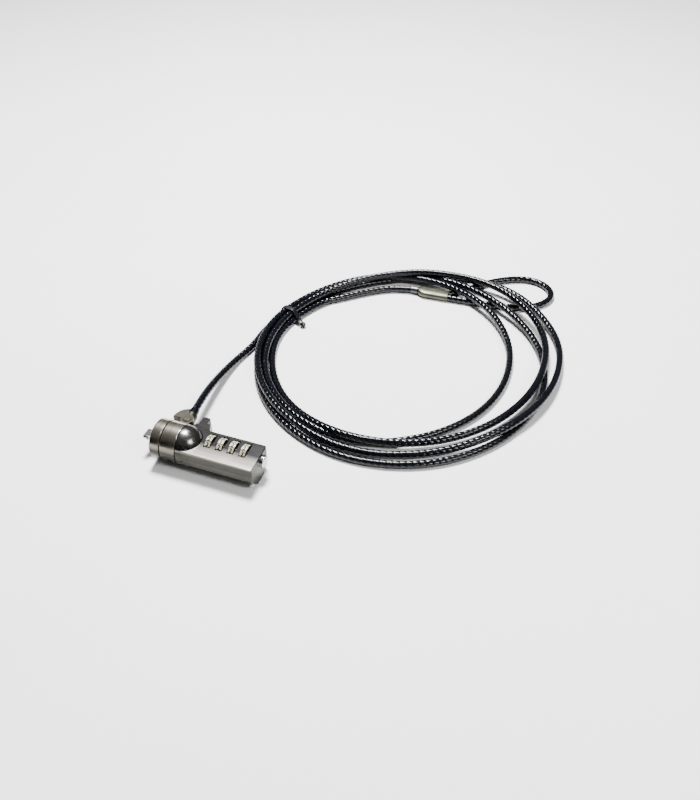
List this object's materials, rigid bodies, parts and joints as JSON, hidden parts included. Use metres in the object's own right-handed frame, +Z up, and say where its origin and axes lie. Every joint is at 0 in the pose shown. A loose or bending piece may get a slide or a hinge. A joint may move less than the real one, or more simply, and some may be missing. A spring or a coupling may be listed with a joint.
{
  "type": "laptop cable lock",
  "caption": "Combination laptop lock with a T-bar head and dial windows, on a coiled black coated steel cable that ends in a swaged eye loop.",
  "frame": {"origin": "middle of the lock's own footprint, on the surface that it lies on; the cable lies beside it", "axes": "+X along the lock from its nose to its button end, +Y to the side that the cable leaves, +Z up"},
  "size_m": [0.1898, 0.232, 0.0205],
  "materials": {
    "nickel": "satin nickel plating on die-cast zinc",
    "chrome": "polished",
    "steel": "plain steel, inside",
    "black_rubber": "matt black",
    "dial_metal": "cream-tinted nickel with black numerals",
    "brass": "plain brass, inside",
    "black_pvc": "glossy black coating over steel strands",
    "ferrule_metal": "satin nickel plating",
    "black_plastic": "matt black"
  },
  "bodies": {
    "cable": {"swivel_knuckle": "nickel", "cable_crimp": "black_plastic", "cable_lead": "black_pvc", "cable_coil": "black_pvc", "cable_tail": "black_pvc", "ferrule_collar": "ferrule_metal", "loop_ferrule": "ferrule_metal", "cable_loop": "black_pvc", "twist_tie": "black_plastic"},
    "housing": {"upper_housing": "nickel", "lower_housing": "nickel", "housing_screws": "steel", "nose_cap": "nickel", "front_seal_ring": "black_rubber", "rear_seal_ring": "black_rubber", "guide_pins": "chrome", "detent_spring": "steel", "swivel_rivet": "nickel", "button_spring": "steel"},
    "turn_head": {"turn_collar": "nickel", "drive_pin": "nickel", "tbar_spindle": "chrome", "spindle_cam": "steel"},
    "locking_bar": {"locking_bar": "brass"},
    "reset_button": {"reset_button": "nickel", "release_shaft": "steel", "shaft_clip": "steel"},
    "dial_1": {"dial_wheel_1": "dial_metal", "clutch_sleeve_1": "brass"},
    "dial_2": {"dial_wheel_2": "dial_metal", "clutch_sleeve_2": "brass"},
    "dial_3": {"dial_wheel_3": "dial_metal", "clutch_sleeve_3": "brass"},
    "dial_4": {"dial_wheel_4": "dial_metal", "clutch_sleeve_4": "brass"}
  },
  "joints": [
    {"name": "cable_swivel", "type": "hinge", "parent": "cable", "child": "housing", "pos_m": [-0.01635, 0.00721, 0.01025], "axis": [0, 0, 1], "range_deg": [-20, 25]},
    {"name": "collar_turn", "type": "hinge", "parent": "housing", "child": "turn_head", "pos_m": [-0.02505, -0.00679, 0.01025], "axis": [-1, 0, 0], "range_deg": [0, 90]},
    {"name": "bar_slide", "type": "slide", "parent": "housing", "child": "locking_bar", "axis": [0, 1, 0], "range_m": [0, 0.0008]},
    {"name": "button_press", "type": "slide", "parent": "housing", "child": "reset_button", "axis": [-1, 0, 0], "range_m": [0, 0.0015], "stiffness_N_per_m": 400, "springref_m": -0.001, "deforming": ["button_spring"]},
    {"name": "dial_1_turn", "type": "hinge", "parent": "housing", "child": "dial_1", "pos_m": [0.00305, -0.00419, 0.01185], "axis": [1, 0, 0], "continuous": true},
    {"name": "dial_2_turn", "type": "hinge", "parent": "housing", "child": "dial_2", "pos_m": [0.00938, -0.00419, 0.01185], "axis": [1, 0, 0], "continuous": true},
    {"name": "dial_3_turn", "type": "hinge", "parent": "housing", "child": "dial_3", "pos_m": [0.01571, -0.00419, 0.01185], "axis": [1, 0, 0], "continuous": true},
    {"name": "dial_4_turn", "type": "hinge", "parent": "housing", "child": "dial_4", "pos_m": [0.02204, -0.00419, 0.01185], "axis": [1, 0, 0], "continuous": true}
  ],
  "couplings": [
    {"joint": "bar_slide", "follows": "collar_turn", "m_per_rad": 0.000446}
  ]
}
